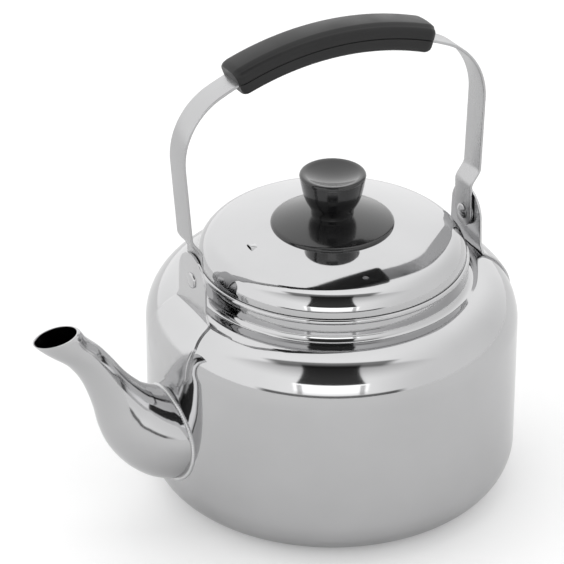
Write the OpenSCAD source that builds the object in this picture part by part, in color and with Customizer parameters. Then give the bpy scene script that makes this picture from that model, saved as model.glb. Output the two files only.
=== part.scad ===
// Stovetop kettle with a swinging bail handle, a domed lid and a curved spout.
// Origin: centre of the base. +Z up, +X towards the spout, millimetres.

/* [Body] */
// Outer radius of the round wall
body_r = 105; // [87:0.5:127]
// Height of the straight wall above the base
wall_h = 99; // [82:0.5:120]
// Radius of the rounded edge between base and wall
base_fillet = 23.5; // [12:0.1:29]
// Height that the rounded shoulder rises above the wall
shoulder_h = 26.5; // [22:0.1:34]
// Width of the shoulder between the wall and the upright neck
shoulder_w = 29.4; // [24:0.1:36]
// Height from the shoulder's top to the mouth's upper edge
neck_h = 13.7; // [11.4:0.1:20]
// Thickness of the pressed steel sheet
sheet = 0.8; // [0.6:0.01:1.2]
// Radius of the rolled bead round the mouth
bead_r = 1.6; // [1.3:0.01:2.2]

/* [Spout] */
// How far the spout's centre line reaches out from the wall
spout_reach = 65; // [54:0.5:80]
// Height of wall between the rounded edge and the spout's root
spout_foot = 0.5; // [0:0.1:10]
// Height that the spout's centre line climbs to the mouth
spout_rise = 79.3; // [66:0.1:96]
// Outer radius of the spout at the wall
spout_root_r = 27; // [22:0.1:33]
// Outer radius of the spout at the mouth
spout_tip_r = 9.4; // [7.8:0.1:12]
// Tilt of the mouth's cut below the horizontal, in degrees
mouth_tilt = 9; // [0:1:25]
// Radius of each strainer hole behind the spout
strainer_hole_r = 2.5; // [1.5:0.05:3]

/* [Ears and pivots] */
// Distance of the ears' inner faces outside the neck's foot
ear_out = 5.4; // [4.5:0.1:7]
// Thickness of the ear plate
ear_t = 1.2; // [1:0.01:1.6]
// Radius of the ear's rounded top about the pivot
ear_top_r = 15.8; // [13:0.1:19]
// Height of the pivots above the shoulder
pivot_rise = 18.5; // [15.4:0.1:30]
// Half width of the foot that is welded on the shoulder
ear_foot_w = 23.5; // [19.5:0.1:28.5]
// Radius of the pivot rivet's shank
rivet_r = 2.5; // [2:0.05:3]
// Radius of the pivot rivet's heads
rivet_head_r = 4.6; // [3.8:0.05:6]
// Height of the pivot rivet's heads
rivet_head_h = 1.6; // [1.2:0.1:2.4]
// Thickness of the pivot washers
washer_t = 0.4; // [0.3:0.01:0.8]

/* [Bail] */
// Width of the steel strap
strap_w = 17; // [14:0.1:20.5]
// Thickness of the steel strap
strap_t = 1.6; // [1.3:0.01:2]
// Distance of the strap's widest part outside the ears' inner faces
leg_out = 7; // [5.8:0.1:9]
// Angle by which each leg widens upwards
leg_lean = 3.5; // [0:0.1:5]
// Angle by which the bail leans back from upright
bail_lean = 2.4; // [-6:0.1:6]
// Height of the strap's crown above the pivots
crown_rise = 124.2; // [102:0.1:149]
// Radius of the strap's crown
crown_r = 170; // [126:0.5:200]
// Radius of the strap's upper corners
corner_r = 39; // [32:0.5:47]
// Length of bare strap between the grip's end and the corner's bend
grip_end_gap = 12; // [8:0.1:30]
// Width of the grip's wall beside the strap
grip_wall = 3; // [2:0.1:5]
// Height of the grip above the strap's middle
grip_over = 9.2; // [7:0.05:11]
// Depth of the grip below the strap's middle
grip_under = 7; // [5.8:0.05:8.5]
// Radius of the clamp screws
grip_screw_r = 1.6; // [1.3:0.01:2]

/* [Lid] */
// How far the lid's edge lies inside the neck's outer wall
lid_inset = 0.6; // [0.2:0.1:2]
// Radius of the lid's rounded edge
lid_round = 9.5; // [6:0.1:11.5]
// Radius of the lid's dome
dome_r = 240; // [200:1:320]
// Thickness of the lid's sheet
lid_sheet = 0.7; // [0.5:0.01:1]
// Depth of the locating skirt below the lid's edge
skirt_drop = 11; // [6:0.1:13.5]
// How far the steam vent lies inside the middle of the lid's free ring
vent_in = 1.35; // [0:0.05:3]
// Radius of the whistle's sound holes
whistle_hole_r = 1.6; // [1.2:0.01:2]

/* [Knob] */
// Radius of the heat shield under the knob
flange_r = 34.6; // [28:0.1:42]
// Thickness of the heat shield's rim
flange_rim = 1.8; // [1.4:0.1:2.5]
// Radius of the knob's top
knob_top_r = 18.6; // [15.5:0.1:22.5]
// Radius of the knob's waist
knob_waist_r = 12; // [10:0.1:14.5]
// Height of the knob
knob_h = 24.6; // [20.5:0.1:32]
// Radius of the knob screw
knob_screw_r = 2.5; // [2:0.1:3]

/* [Hidden] */

// Gaps: between moving pieces, and a running fit on a radius
gap = 0.3;
run = 0.05;
// Small overshoot that makes a cut pass through
eps = 0.5;
big = 400;

// Shoulder and neck
neck_r = body_r - shoulder_w;
neck_fillet = 4;
shoulder_end_r = neck_r + neck_fillet + 1.4;
shoulder_z = wall_h + shoulder_h;
mouth_z = shoulder_z + neck_h;
bead_c = [neck_r - 0.3, mouth_z - bead_r];
spout_root_z = base_fillet + spout_foot + spout_root_r;

// Ears
ear_x = shoulder_end_r + ear_out;
pivot_z = shoulder_z + pivot_rise;

// Lid: the dome runs on into its rounded edge
lid_r = neck_r - lid_inset;
lid_z = mouth_z + gap;
lid_edge_h = 1.5;
round_c = [lid_r - lid_round, lid_z + lid_edge_h];
dome_slope = asin(round_c[0] / (dome_r - lid_round));
dome_c = round_c[1] + (lid_round - dome_r) * cos(dome_slope);
lid_top = dome_c + dome_r;
skirt_r = bead_c[0] - bead_r - 0.6;

// Heat shield and knob
flange_cap_r = 104;
flange_rim_z = dome_c + sqrt(pow(dome_r, 2) - pow(flange_r, 2)) + flange_rim;
flange_c = flange_rim_z - sqrt(pow(flange_cap_r, 2) - pow(flange_r, 2));
knob_z = flange_c + sqrt(pow(flange_cap_r, 2) - pow(knob_waist_r, 2));
insert_r = knob_screw_r + 2.5;
insert_h = 14;

// Bail
strap_hole_r = rivet_r + run;
eye_x = ear_x - washer_t - gap - strap_t / 2;
leg_x = ear_x + leg_out;
crown_z = pivot_z + crown_rise;
crown_c = crown_z - crown_r;
corner_x = leg_x - corner_r;
corner_z = crown_c + sqrt(pow(crown_r - corner_r, 2) - pow(corner_x, 2));
corner_a = atan2(corner_z - crown_c, corner_x);
joggle_z0 = pivot_z + ear_top_r + 1.7;
joggle_z1 = joggle_z0 + 11;
bend_x = corner_x + corner_r * cos(leg_lean);
bend_z = corner_z - corner_r * sin(leg_lean);
leg_low_x = bend_x - (bend_z - joggle_z1) * tan(leg_lean);
grip_w = strap_w + 2 * grip_wall;
grip_angle = 90 - corner_a - grip_end_gap / crown_r * 180 / PI;
grip_screw_angle = grip_angle * 0.66;
strap_clear = 0.15;

// Whistle
cup_r = 12;
vent_x = (flange_r + round_c[0]) / 2 - vent_in;
cup_x = vent_x - 6;
cup_drop = 14;
cup_sheet = 0.6;
vent_w = 7;
vent_l = 5.8;
vent_h = 1.7;

// ---------- helpers ----------
function arc(c, r, a0, a1, n) = [for (i = [0:n]) let (a = a0 + (a1 - a0) * i / n)
    c + r * [cos(a), sin(a)]];
// Shoulder curve: an upright quarter ellipse moved outwards by off
shoulder_a = body_r - shoulder_end_r;
function shoulder_pt(t, off) = let (
    nx = shoulder_h * cos(t), nz = shoulder_a * sin(t), n = norm([nx, nz]))
    [shoulder_end_r + shoulder_a * cos(t) + off * nx / n,
     wall_h + shoulder_h * sin(t) + off * nz / n];
function shoulder_path(off, n = 18) = [for (i = [0:n]) shoulder_pt(90 * i / n, off)];
// Outline of the body from the axis to the top of the neck, moved outwards by off
function body_path(off) = concat(
    [[0, -off]],
    arc([body_r - base_fillet, base_fillet], base_fillet + off, -90, 0, 12),
    shoulder_path(off),
    arc([neck_r + neck_fillet, shoulder_z + neck_fillet], neck_fillet - off, 270, 180, 6),
    [[neck_r + off, bead_c[1]]]);
module body_solid(off) {
    rotate_extrude($fn = 180) polygon(concat(body_path(off), [[0, bead_c[1]]]));
}
// A polygon drawn in the Y-Z plane and extruded along +X from x0
module plate_yz(x0, t) {
    translate([x0, 0, 0]) rotate([90, 0, 90]) linear_extrude(t) children();
}
module along_x(x0, r, l) {
    translate([x0, 0, pivot_z]) rotate([0, 90, 0]) cylinder(r = r, h = l, $fn = 48);
}
module rear() {
    mirror([1, 0, 0]) children();
}

// ---------- body ----------
strainer_pitch = (spout_root_r - sheet - strainer_hole_r - 6.9) / 2;
module strainer_holes() {
    for (ring = [0:2], i = [0:max(0, 6 * ring - 1)]) {
        a = ring == 0 ? 0 : 360 * i / (6 * ring);
        translate([body_r - 16, strainer_pitch * ring * cos(a),
            spout_root_z + 2 + strainer_pitch * ring * sin(a)])
            rotate([0, 90, 0]) cylinder(r = strainer_hole_r, h = 20, $fn = 24);
    }
}
module body_shell() {
    color("silver") difference() {
        union() {
            rotate_extrude($fn = 180) {
                polygon(concat(body_path(0), [for (i = [len(body_path(0)) - 1:-1:0])
                    body_path(-sheet)[i]]));
                translate(bead_c) circle(r = bead_r, $fn = 32);
            }
        }
        strainer_holes();
    }
}

// ---------- spout ----------
// Sections of the spout from the wall to the mouth. Each row is [along, up, fatness,
// lean]: along and up are shares of the reach and the rise, fatness is a share between
// the tip's radius and the root's, and lean is the section's angle from the vertical.
spout_rows = [
    [0, 0, 1, 0], [0.065, 0.02, 0.98, 6], [0.15, 0.055, 0.92, 14], [0.25, 0.12, 0.8, 24],
    [0.34, 0.205, 0.64, 35.5], [0.405, 0.295, 0.47, 47], [0.47, 0.415, 0.275, 59],
    [0.545, 0.53, 0.145, 63], [0.625, 0.65, 0.07, 60], [0.72, 0.765, 0.03, 53],
    [0.845, 0.875, 0.01, 47]];
end_slope = 37;
function spout_row(i) = i < len(spout_rows)
    ? let (q = spout_rows[i], r = spout_tip_r + (spout_root_r - spout_tip_r) * q[2])
        [body_r + spout_reach * q[0], spout_root_z + spout_rise * q[1], r, r, q[3]]
    : [body_r + spout_reach, spout_root_z + spout_rise,
        spout_tip_r / sin(end_slope + mouth_tilt), spout_tip_r, 90 - mouth_tilt];
// Smooth curve through the rows, u counts rows
function spout_at(u) = let (
    n = len(spout_rows), i = min(floor(u), n - 1), f = u - i,
    p0 = spout_row(max(i - 1, 0)), p1 = spout_row(i),
    p2 = spout_row(i + 1), p3 = spout_row(min(i + 2, n)))
    0.5 * (2 * p1 + (p2 - p0) * f + (2 * p0 - 5 * p1 + 4 * p2 - p3) * f * f
        + (3 * p1 - p0 - 3 * p2 + p3) * f * f * f);
spout_steps = 3;
spout_sides = 32;
touch = 0.02;
// One section: the first few are bent so that the root lies on the round wall
function spout_ring(u, off) = let (q = spout_at(u), bend = max(0, 1 - u / 2.5))
    [for (k = [0:spout_sides - 1]) let (a = 360 * k / spout_sides,
        v = (q[2] + off) * cos(a), y = (q[3] + off) * sin(a))
        [q[0] - v * sin(q[4]) + touch + bend * (sqrt(pow(body_r, 2) - y * y) - body_r),
         y, q[1] + v * cos(q[4])]];
// Closed skin over a list of rings; the last ring joins the first when looped
module ring_skin(rings) {
    n = len(rings);
    m = len(rings[0]);
    polyhedron(points = [for (r = rings) each r],
        faces = [for (i = [0:n - 1], k = [0:m - 1]) let (a = i * m + k, b = i * m + (k + 1) % m,
            c = ((i + 1) % n) * m + (k + 1) % m, d = ((i + 1) % n) * m + k)
            each [[a, b, c], [a, c, d]]]);
}
module spout() {
    last = len(spout_rows) * spout_steps;
    color("silver") ring_skin(concat(
        [for (i = [last:-1:0]) spout_ring(i / spout_steps, -sheet)],
        [for (i = [0:last]) spout_ring(i / spout_steps, 0)]));
}
// A three-cornered bead in the corner between spout and wall
weld_size = 1;
weld_off = 0.1;
module spout_weld() {
    seat = spout_ring(0, weld_off);
    foot = spout_ring(0, weld_size);
    next = spout_ring(1, weld_off);
    color("gainsboro") translate([weld_off, 0, 0]) ring_skin([
        [for (k = [0:spout_sides - 1]) foot[k]],
        [for (k = [0:spout_sides - 1]) seat[k]],
        [for (k = [0:spout_sides - 1])
            seat[k] + weld_size * (next[k] - seat[k]) / norm(next[k] - seat[k])]]);
}

// ---------- ears and pivots ----------
foot_low = wall_h - 11;
foot_wide_z = shoulder_z - 11;
foot_corner = 13;
// The tab's lower edge lies inside the foot's sheet
tab_base_z = shoulder_pt(acos((ear_x - shoulder_end_r) / shoulder_a), 0)[1] + 0.03;
tab_base_w = ear_foot_w - 4;
module ear_tab_outline() {
    translate([0, pivot_z]) circle(r = ear_top_r, $fn = 64);
    flare_z = tab_base_z + 6;
    polygon([[-ear_top_r, pivot_z], [-ear_top_r - 0.6, flare_z], [-tab_base_w, tab_base_z],
        [tab_base_w, tab_base_z], [ear_top_r + 0.6, flare_z], [ear_top_r, pivot_z]]);
}
module foot_outline() {
    half = concat(
        [[tab_base_w, shoulder_z + 8], [tab_base_w, shoulder_z - 2], [ear_foot_w, foot_wide_z]],
        arc([ear_foot_w - foot_corner, foot_low + foot_corner], foot_corner, 0, -90, 8));
    polygon(concat(half, [for (i = [len(half) - 1:-1:0]) [-half[i][0], half[i][1]]]));
}
module foot_shell() {
    low = foot_low - 4;
    rotate_extrude($fn = 180)
        polygon(concat([[body_r, low], [body_r + ear_t, low]], shoulder_path(ear_t),
            [for (p = [18:-1:0]) shoulder_path(0)[p]]));
}
module ear() {
    difference() {
        union() {
            plate_yz(ear_x, ear_t) ear_tab_outline();
            intersection() {
                foot_shell();
                plate_yz(ear_x, 40) foot_outline();
            }
        }
        along_x(ear_x - eps, rivet_r, ear_t + 2 * eps);
    }
}
module front_ear() { color("silver") ear(); }
module rear_ear() { color("silver") rear() ear(); }

// A rivet: domed head outside the ear, shank, and the domed head that keeps the strap on
inner_head_x = eye_x - strap_t / 2 - gap;
module head_section(y0, side) {
    cap = (pow(rivet_head_r, 2) + pow(rivet_head_h, 2)) / (2 * rivet_head_h);
    intersection() {
        translate([0, y0 + side * (rivet_head_h - cap)]) circle(r = cap, $fn = 96);
        translate([0, side > 0 ? y0 : y0 - rivet_head_h]) square([rivet_head_r, rivet_head_h]);
    }
}
module rivet() {
    translate([0, 0, pivot_z]) rotate([0, 90, 0]) rotate_extrude($fn = 64) {
        head_section(ear_x + ear_t, 1);
        translate([0, inner_head_x]) square([rivet_r, ear_x + ear_t - inner_head_x]);
        head_section(inner_head_x, -1);
    }
}
module front_rivet() { color("gainsboro") rivet(); }
module rear_rivet() { color("gainsboro") rear() rivet(); }

washer_r = strap_w / 2 - 1;
module washer() {
    difference() {
        along_x(ear_x - washer_t, washer_r, washer_t);
        along_x(ear_x - 2, strap_hole_r, 4);
    }
}
module front_washer() { color("dimgray") washer(); }
module rear_washer() { color("dimgray") rear() washer(); }

// ---------- bail ----------
// Middle line of the strap from the front eye to the top of the crown
function joggle(u) = [eye_x + (leg_low_x - eye_x) * (3 * u * u - 2 * u * u * u),
    joggle_z0 + (joggle_z1 - joggle_z0) * u];
half_strap = concat(
    [[eye_x, pivot_z - strap_w / 2]],
    [for (i = [0:8]) joggle(i / 8)],
    arc([corner_x, corner_z], corner_r, -leg_lean, corner_a, 12),
    [for (i = [1:10]) let (a = corner_a + (90 - corner_a) * i / 10)
        [crown_r * cos(a), crown_c + crown_r * sin(a)]]);
function normal_at(path, i) = let (
    d = path[min(i + 1, len(path) - 1)] - path[max(i - 1, 0)]) [d[1], -d[0]] / norm(d);
function moved(path, off) = [for (i = [0:len(path) - 1]) path[i] + off * normal_at(path, i)];
module strap_side() {
    last = len(half_strap) - 1;
    path = concat(half_strap, [for (i = [last - 1:-1:0]) [-half_strap[i][0], half_strap[i][1]]]);
    inner = moved(path, -strap_t / 2);
    polygon(concat(moved(path, strap_t / 2), [for (i = [len(inner) - 1:-1:0]) inner[i]]));
}
// Leans the bail back about its pivots
module leaning() {
    translate([0, 0, pivot_z]) rotate([bail_lean, 0, 0]) translate([0, 0, -pivot_z]) children();
}
// Centres a child on the crown line at angle a from the vertical
module on_crown(a) {
    translate([0, 0, crown_c]) rotate([0, a, 0]) translate([0, 0, crown_r]) children();
}
module grip_holes(r, z0, h) {
    for (a = [-grip_screw_angle, grip_screw_angle])
        on_crown(a) translate([0, 0, z0]) cylinder(r = r, h = h, $fn = 32);
}
module bail_strap() {
    color("silver") leaning() difference() {
        intersection() {
            rotate([90, 0, 0]) linear_extrude(strap_w, center = true) strap_side();
            union() {
                translate([-big / 2, -strap_w, pivot_z]) cube([big, 2 * strap_w, big]);
                along_x(-big / 2, strap_w / 2, big);
            }
        }
        along_x(-big / 2, strap_hole_r, big);
        grip_holes(grip_screw_r + strap_clear, -strap_t, 2 * strap_t);
    }
}
// Cross-section of the grip, X away from the crown's centre, Y across
grip_round = 4;
grip_low_round = 3.5;
module grip_section() {
    w = grip_w / 2;
    r0 = crown_r - grip_under;
    r1 = crown_r + grip_over;
    crown = 1.2;
    polygon(concat(
        arc([r0 + grip_low_round, w - grip_low_round], grip_low_round, 180, 90, 5),
        arc([r1 - crown - grip_round, w - grip_round], grip_round, 90, 14, 6),
        [[r1 - 0.25, w * 0.28], [r1, 0], [r1 - 0.25, -w * 0.28]],
        arc([r1 - crown - grip_round, grip_round - w], grip_round, -14, -90, 6),
        arc([r0 + grip_low_round, grip_low_round - w], grip_low_round, -90, -180, 5)));
}
module grip_sweep() {
    translate([0, 0, crown_c]) rotate([90, 0, 0])
        rotate([0, 0, 90 - grip_angle]) rotate_extrude(angle = 2 * grip_angle, $fn = 180)
            grip_section();
}
// The band between two radii about the crown's centre, of width w
module crown_band(r0, r1, w) {
    translate([0, 0, crown_c]) rotate([90, 0, 0]) difference() {
        cylinder(r = r1, h = w, center = true, $fn = 180);
        cylinder(r = r0, h = w + 1, center = true, $fn = 180);
    }
}
// Crossing the crown's pocket: the strap lies between the two halves of the grip
module grip_top() {
    color([0.09, 0.09, 0.09]) leaning() difference() {
        grip_sweep();
        crown_band(crown_r - grip_under - 10, crown_r + strap_t / 2, grip_w + 4);
        grip_holes(insert_out_r, 0, insert_top);
    }
}
module grip_bottom() {
    color([0.09, 0.09, 0.09]) leaning() difference() {
        grip_sweep();
        crown_band(crown_r + strap_t / 2, crown_r + grip_over + 10, grip_w + 4);
        crown_band(crown_r - strap_t / 2 - strap_clear, crown_r + strap_t / 2 + 1,
            strap_w + 2 * strap_clear);
        grip_holes(grip_screw_r + strap_clear, -grip_under - 2, grip_under + 2);
        grip_holes(screw_head_r + strap_clear, -grip_under - 2, 2 + screw_head_sink);
    }
}
insert_out_r = grip_screw_r + 1;
insert_top = 6;
screw_head_r = grip_screw_r + 1.2;
screw_head_h = 1.5;
screw_head_sink = 1.6;
module grip_screws() {
    color("gainsboro") leaning() {
        grip_holes(grip_screw_r, -grip_under + screw_head_sink, grip_under - screw_head_sink + 5);
        grip_holes(screw_head_r, -grip_under + screw_head_sink - screw_head_h, screw_head_h);
    }
}
module grip_inserts() {
    color("goldenrod") leaning() difference() {
        grip_holes(insert_out_r, strap_t / 2, insert_top - strap_t / 2);
        grip_holes(grip_screw_r, -grip_under + screw_head_sink, grip_under - screw_head_sink + 5);
    }
}

// ---------- lid ----------
// Everything under the lid's outer surface moved inwards by t, as a half section
module lid_section(t, z_low) {
    xt = round_c[0] + (lid_round - t) * sin(dome_slope);
    intersection() {
        translate([0, dome_c]) circle(r = dome_r - t, $fn = 360);
        translate([0, z_low]) square([xt, 60]);
    }
    intersection() {
        translate(round_c) circle(r = lid_round - t, $fn = 96);
        translate([0, z_low]) square([lid_r, 60]);
    }
    translate([0, z_low]) square([lid_r - t, round_c[1] - z_low]);
}
module lid_solid(t, z_low) {
    rotate_extrude($fn = 180) lid_section(t, z_low);
}
module vent_wedge(grow) {
    z = dome_c + sqrt(pow(dome_r, 2) - pow(vent_x, 2));
    back = vent_x - vent_l / 2;
    rotate([90, 0, 0]) linear_extrude(vent_w + 2 * grow, center = true)
        polygon([[back - grow, z - 1], [back - grow, z + 0.6], [back + vent_l, z + vent_h - 1 + grow],
            [back + vent_l, z - 1.6]]);
}
module lid_shell() {
    color("silver") difference() {
        union() {
            rotate_extrude($fn = 180) difference() {
                lid_section(0, lid_z);
                lid_section(lid_sheet, lid_z - 1);
            }
            difference() {
                vent_wedge(lid_sheet);
                lid_solid(lid_sheet, lid_z - 1);
            }
        }
        vent_wedge(0);
        translate([vent_x, -vent_w / 2, lid_top - 8]) cube([vent_l / 2, vent_w, 4]);
        translate([0, 0, lid_top - 5]) cylinder(r = knob_screw_r + 0.2, h = 10, $fn = 48);
    }
}
module lid_skirt() {
    color("silver") rotate_extrude($fn = 180) intersection() {
        translate([skirt_r - lid_sheet, lid_z - skirt_drop]) square([lid_sheet, 40]);
        lid_section(lid_sheet, lid_z - skirt_drop - 1);
    }
}

// ---------- knob ----------
module knob_flange() {
    color([0.07, 0.07, 0.07]) difference() {
        rotate_extrude($fn = 120) difference() {
            intersection() {
                translate([0, flange_c]) circle(r = flange_cap_r, $fn = 240);
                translate([0, lid_top - 20]) square([flange_r, knob_z - lid_top + 20]);
            }
            translate([0, dome_c]) circle(r = dome_r, $fn = 360);
        }
        translate([0, 0, lid_top - 2]) cylinder(r = knob_screw_r + 0.2, h = 20, $fn = 48);
    }
}
// Outline of the knob: a slim foot that swells to a dished top
module knob_section() {
    h = knob_h;
    w = knob_waist_r;
    t = knob_top_r;
    lip = 1.3;
    dish = 3.4;
    body = [[0, 0], [w, 0], [w + 0.2, 0.12 * h], [w + 0.2 * (t - w), 0.2 * h],
        [w + 0.48 * (t - w), 0.35 * h], [w + 0.67 * (t - w), 0.5 * h],
        [w + 0.82 * (t - w), 0.7 * h], [w + 0.95 * (t - w), 0.88 * h]];
    dish_r = (pow(t - 2 * lip, 2) + dish * dish) / (2 * dish);
    dish_a = asin((t - 2 * lip) / dish_r);
    polygon(concat(body, arc([t - lip, h - lip], lip, 0, 90, 6),
        [for (i = [0:8]) let (a = dish_a * (1 - i / 8))
            [dish_r * sin(a), h - dish - 0.2 + dish_r * (1 - cos(a))]]));
}
module knob() {
    color([0.07, 0.07, 0.07]) difference() {
        translate([0, 0, knob_z]) rotate_extrude($fn = 120) knob_section();
        translate([0, 0, knob_z - 1]) cylinder(r = insert_r, h = insert_h + 1, $fn = 48);
    }
}
washer_top = lid_top - lid_sheet - 0.1;
knob_washer_t = 1;
module knob_insert() {
    color("goldenrod") difference() {
        translate([0, 0, knob_z]) cylinder(r = insert_r, h = insert_h, $fn = 48);
        translate([0, 0, knob_z - 1]) cylinder(r = knob_screw_r, h = insert_h - 1, $fn = 48);
    }
}
module knob_washer() {
    color("darkgray") difference() {
        translate([0, 0, washer_top - knob_washer_t]) cylinder(r = knob_screw_r + 4.5, h = knob_washer_t, $fn = 64);
        translate([0, 0, washer_top - 4]) cylinder(r = knob_screw_r + 0.2, h = 8, $fn = 48);
    }
}
module knob_screw() {
    head_z = washer_top - knob_washer_t;
    head_h = 2.6;
    color("gainsboro") difference() {
        union() {
            translate([0, 0, head_z]) cylinder(r = knob_screw_r, h = knob_z + 11 - head_z, $fn = 48);
            translate([0, 0, head_z - head_h]) cylinder(r = knob_screw_r + 2.1, h = head_h, $fn = 64);
        }
        for (a = [0, 90]) rotate([0, 0, a])
            translate([-2.6, -0.5, head_z - head_h - 1]) cube([5.2, 1, 2.4]);
    }
}

// ---------- whistle in the lid ----------
module whistle_cup() {
    z0 = lid_top - cup_drop - 2;
    color("silver") difference() {
        intersection() {
            difference() {
                translate([cup_x, 0, z0]) cylinder(r = cup_r, h = 30, $fn = 72);
                translate([cup_x, 0, z0 + cup_sheet]) cylinder(r = cup_r - cup_sheet, h = 30, $fn = 72);
            }
            lid_solid(lid_sheet, z0 - 1);
        }
        translate([cup_x, 0, z0 - 1]) cylinder(r = whistle_hole_r, h = 4, $fn = 32);
    }
}
module whistle_disc() {
    z0 = lid_top - cup_drop + 2.5;
    color("gainsboro") difference() {
        translate([cup_x, 0, z0]) cylinder(r = cup_r - cup_sheet, h = cup_sheet, $fn = 72);
        translate([cup_x, 0, z0 - 1]) cylinder(r = whistle_hole_r, h = 4, $fn = 32);
    }
}

body_shell();
spout();
spout_weld();
front_ear();
rear_ear();
front_rivet();
rear_rivet();
front_washer();
rear_washer();
bail_strap();
grip_top();
grip_bottom();
grip_screws();
grip_inserts();
lid_shell();
lid_skirt();
knob_flange();
knob();
knob_insert();
knob_screw();
knob_washer();
whistle_cup();
whistle_disc();
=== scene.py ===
"""Looks of a stovetop kettle: smooth steel shells, a moulded grip and knob, and soft light.

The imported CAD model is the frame. Every piece is built in that frame, in place.
"""

import math

import bmesh
import bpy
import numpy as np
from bpy.props import FloatProperty, FloatVectorProperty, IntProperty, PointerProperty
from mathutils import Matrix, Vector


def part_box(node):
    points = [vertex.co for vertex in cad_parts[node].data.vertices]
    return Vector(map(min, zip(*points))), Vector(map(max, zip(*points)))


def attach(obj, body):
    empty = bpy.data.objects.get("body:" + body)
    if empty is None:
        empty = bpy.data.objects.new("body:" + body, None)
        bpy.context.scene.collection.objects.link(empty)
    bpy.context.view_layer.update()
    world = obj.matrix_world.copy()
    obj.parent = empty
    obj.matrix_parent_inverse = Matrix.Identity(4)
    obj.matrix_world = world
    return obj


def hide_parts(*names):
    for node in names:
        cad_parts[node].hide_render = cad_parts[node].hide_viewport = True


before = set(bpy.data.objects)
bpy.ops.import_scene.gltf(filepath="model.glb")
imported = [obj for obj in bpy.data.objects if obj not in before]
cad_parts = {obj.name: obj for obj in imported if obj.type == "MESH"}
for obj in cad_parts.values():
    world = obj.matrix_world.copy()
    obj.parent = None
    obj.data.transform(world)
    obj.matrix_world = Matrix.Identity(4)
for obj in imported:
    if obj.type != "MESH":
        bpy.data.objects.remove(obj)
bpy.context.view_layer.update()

bl_info = {
    "name": "Stovetop kettle",
    "version": (1, 0, 0),
    "blender": (4, 5, 0),
    "location": "3D View > Sidebar > Kettle",
    "description": "Builds a steel stovetop kettle and its studio piece by piece",
    "category": "Add Mesh",
}

MM = 0.001
BODY, BAIL, LID = "kettle_body", "bail", "lid"


# ---------- places taken from the frame, in millimetres ----------
def reach(node, corner, axis):
    """One coordinate of a CAD node's box in millimetres: corner 0 is low and 1 is high."""
    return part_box(node)[corner][axis] / MM


def pivot_height():
    """Height of the pivots: the middle of the front washer."""
    return (reach("front_washer", 0, 2) + reach("front_washer", 1, 2)) / 2


# ---------- properties ----------
def length(name, description, default):
    """A size in metres."""
    return FloatProperty(name=name, description=description, default=default,
                         unit="LENGTH", subtype="DISTANCE")


def angle(name, description, degrees):
    """An angle, given in degrees and kept in radians."""
    return FloatProperty(name=name, description=description, default=math.radians(degrees),
                         unit="ROTATION", subtype="ANGLE")


# ---------- mesh helpers ----------
def linked(name, data):
    """A new object in the scene."""
    obj = bpy.data.objects.new(name, data)
    bpy.context.scene.collection.objects.link(obj)
    return obj


def solid(name, make, **sizes):
    """An object made by one bmesh primitive."""
    bm = bmesh.new()
    make(bm, **sizes)
    mesh = bpy.data.meshes.new(name)
    bm.to_mesh(mesh)
    bm.free()
    return linked(name, mesh)


def make_piece(name, points, faces, body=None, slot=None, stands_for=(), smooth_to=40):
    """A closed mesh with outward faces; with a body, it rides on it and stands for CAD nodes."""
    mesh = bpy.data.meshes.new(name)
    mesh.from_pydata([tuple(c * MM for c in p) for p in points], [], faces)
    bm = bmesh.new()
    bm.from_mesh(mesh)
    bmesh.ops.remove_doubles(bm, verts=bm.verts, dist=1e-7)
    if bm.calc_volume(signed=True) < 0:
        bmesh.ops.reverse_faces(bm, faces=bm.faces)
    bm.to_mesh(mesh)
    bm.free()
    obj = linked(name, mesh)
    shade(obj, smooth_to)
    if body:
        declare(obj, body, stands_for)
    return obj


def shade(obj, smooth_to):
    """Smooth shading with edges kept sharp past an angle in degrees."""
    mesh = obj.data
    mesh.polygons.foreach_set("use_smooth", [True] * len(mesh.polygons))
    mesh.set_sharp_from_angle(angle=math.radians(smooth_to))
    mesh.update()


def declare(obj, body, stands_for=()):
    """Says which body a piece rides on and hides the CAD nodes it stands for."""
    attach(obj, body)
    if stands_for:
        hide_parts(*stands_for)


def revolved(profile, turns=256):
    """Points and faces of a closed (radius, height) section turned about Z."""
    rows = len(profile)
    points, faces = [], []
    for s in range(turns):
        a = 2 * math.pi * s / turns
        points += [(r * math.cos(a), r * math.sin(a), z) for r, z in profile]
        t = (s + 1) % turns
        for i in range(rows):
            j = (i + 1) % rows
            faces.append((s * rows + i, t * rows + i, t * rows + j, s * rows + j))
    return points, faces


def skinned(rings, loop=False):
    """Points and faces over equal rings; the ends are capped, or joined when looped."""
    n, m = len(rings), len(rings[0])
    points = [p for ring in rings for p in ring]
    faces = [
        (i * m + k, i * m + (k + 1) % m, (i + 1) % n * m + (k + 1) % m, (i + 1) % n * m + k)
        for i in range(n if loop else n - 1)
        for k in range(m)
    ]
    if not loop:
        faces += [tuple(range(m)), tuple((n - 1) * m + k for k in range(m - 1, -1, -1))]
    return points, faces


def walled(over, under):
    """Points and faces of a thin wall between two equal grids of points."""
    n, m = len(over), len(over[0])
    points = [tuple(q) for layer in (over, under) for row in layer for q in row]
    faces = []
    for i in range(n - 1):
        for j in range(m - 1):
            a, b, c, d = i * m + j, i * m + j + 1, (i + 1) * m + j + 1, (i + 1) * m + j
            faces += [(a, b, c, d), (n * m + d, n * m + c, n * m + b, n * m + a)]
    rim = ([(0, j) for j in range(m)] + [(i, m - 1) for i in range(1, n)]
           + [(n - 1, j) for j in range(m - 2, -1, -1)] + [(i, 0) for i in range(n - 2, 0, -1)])
    for (i, j), (k, q) in zip(rim, rim[1:] + rim[:1]):
        a, b = i * m + j, k * m + q
        faces.append((b, a, n * m + a, n * m + b))
    return points, faces


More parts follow.
